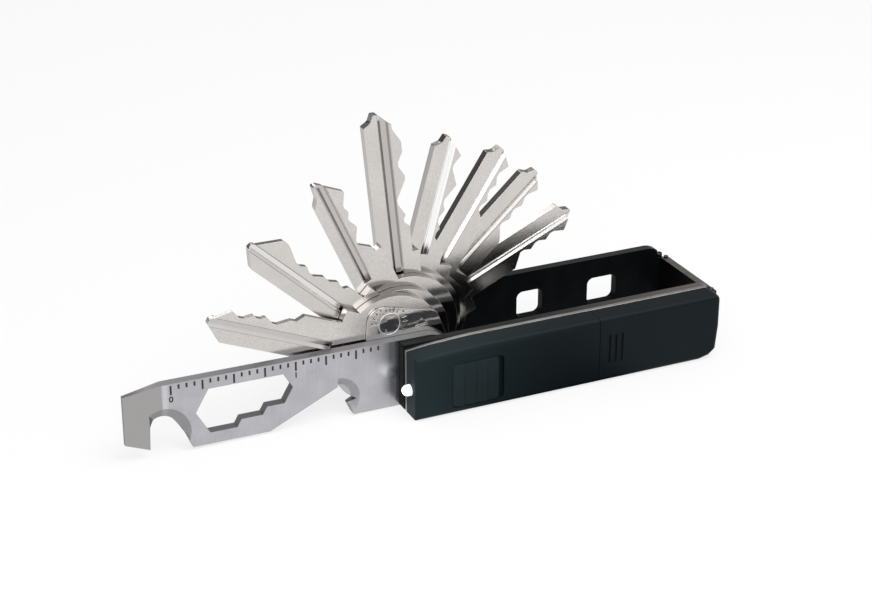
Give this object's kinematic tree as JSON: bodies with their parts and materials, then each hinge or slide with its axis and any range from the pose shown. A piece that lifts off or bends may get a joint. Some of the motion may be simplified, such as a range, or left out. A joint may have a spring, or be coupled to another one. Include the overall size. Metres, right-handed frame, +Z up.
{
  "type": "key organiser",
  "caption": "Pocket key organiser: two side plates with a pivoting fan of cut keys and a flat multitool, and a slim torch module on the outside.",
  "frame": {"origin": "on the long lower edge of the near side plate, at the middle of the plate's thickness, straight below the pivot axis", "axes": "+X along the case from the pivot to the end bridge; +Y across the case from the torch side to the far side plate; +Z up from the long edge that the case stands on"},
  "size_m": [0.1309, 0.0301, 0.0592],
  "materials": {
    "black_anodised": "satin",
    "dark_steel": "satin",
    "bright_steel": "satin",
    "tool_steel": "satin",
    "key_nickel": "satin",
    "soft_black": "matte",
    "switch_black": "matte",
    "clear_lens": "gloss",
    "reflector_bright": "gloss",
    "emitter_yellow": "matte",
    "board_green": "satin",
    "cell_steel": "gloss"
  },
  "bodies": {
    "case": {"near_side_plate": "black_anodised", "far_side_plate": "black_anodised", "end_bridge": "dark_steel", "bridge_pins": "dark_steel", "pivot_sleeve": "bright_steel", "pivot_screw": "bright_steel", "pivot_nut": "bright_steel", "hub_disc": "bright_steel", "flat_washer": "bright_steel", "disc_spring": "bright_steel", "light_base_plate": "bright_steel", "light_housing": "soft_black", "module_screws": "bright_steel", "led_lens": "clear_lens", "led_reflector": "reflector_bright", "led_emitter": "emitter_yellow", "circuit_board": "board_green", "inner_switch": "switch_black", "coin_cells": "cell_steel", "battery_contacts": "bright_steel"},
    "multitool": {"multitool": "tool_steel"},
    "switch": {"slide_switch": "soft_black"},
    "cover": {"battery_cover": "soft_black"},
    "key_1": {"key_1": "key_nickel"},
    "key_2": {"key_2": "key_nickel"},
    "key_3": {"key_3": "key_nickel"},
    "key_4": {"key_4": "key_nickel"},
    "key_5": {"key_5": "key_nickel"},
    "key_6": {"key_6": "key_nickel"},
    "key_7": {"key_7": "key_nickel"},
    "key_8": {"key_8": "key_nickel"}
  },
  "joints": [
    {"name": "multitool_hinge", "type": "hinge", "parent": "case", "child": "multitool", "pos_m": [0, 0, 0.0073], "axis": [0, -1, 0], "range_deg": [-179.5, 0.5]},
    {"name": "key_1_hinge", "type": "hinge", "parent": "case", "child": "key_1", "pos_m": [0, 0, 0.0073], "axis": [0, -1, 0], "range_deg": [-157.4, 22.6]},
    {"name": "key_2_hinge", "type": "hinge", "parent": "case", "child": "key_2", "pos_m": [0, 0, 0.0073], "axis": [0, -1, 0], "range_deg": [-137.2, 42.8]},
    {"name": "key_3_hinge", "type": "hinge", "parent": "case", "child": "key_3", "pos_m": [0, 0, 0.0073], "axis": [0, -1, 0], "range_deg": [-113.9, 66.1]},
    {"name": "key_4_hinge", "type": "hinge", "parent": "case", "child": "key_4", "pos_m": [0, 0, 0.0073], "axis": [0, -1, 0], "range_deg": [-95.5, 84.5]},
    {"name": "key_5_hinge", "type": "hinge", "parent": "case", "child": "key_5", "pos_m": [0, 0, 0.0073], "axis": [0, -1, 0], "range_deg": [-74.5, 105.5]},
    {"name": "key_6_hinge", "type": "hinge", "parent": "case", "child": "key_6", "pos_m": [0, 0, 0.0073], "axis": [0, -1, 0], "range_deg": [-56.9, 123.1]},
    {"name": "key_7_hinge", "type": "hinge", "parent": "case", "child": "key_7", "pos_m": [0, 0, 0.0073], "axis": [0, -1, 0], "range_deg": [-42.4, 137.6]},
    {"name": "key_8_hinge", "type": "hinge", "parent": "case", "child": "key_8", "pos_m": [0, 0, 0.0073], "axis": [0, -1, 0], "range_deg": [-24.5, 155.5]},
    {"name": "switch_slide", "type": "slide", "parent": "case", "child": "switch", "axis": [1, 0, 0], "range_m": [0, 0.0011]},
    {"name": "battery_cover_slide", "type": "slide", "parent": "case", "child": "cover", "axis": [1, 0, 0], "range_m": [0, 0.026]}
  ]
}
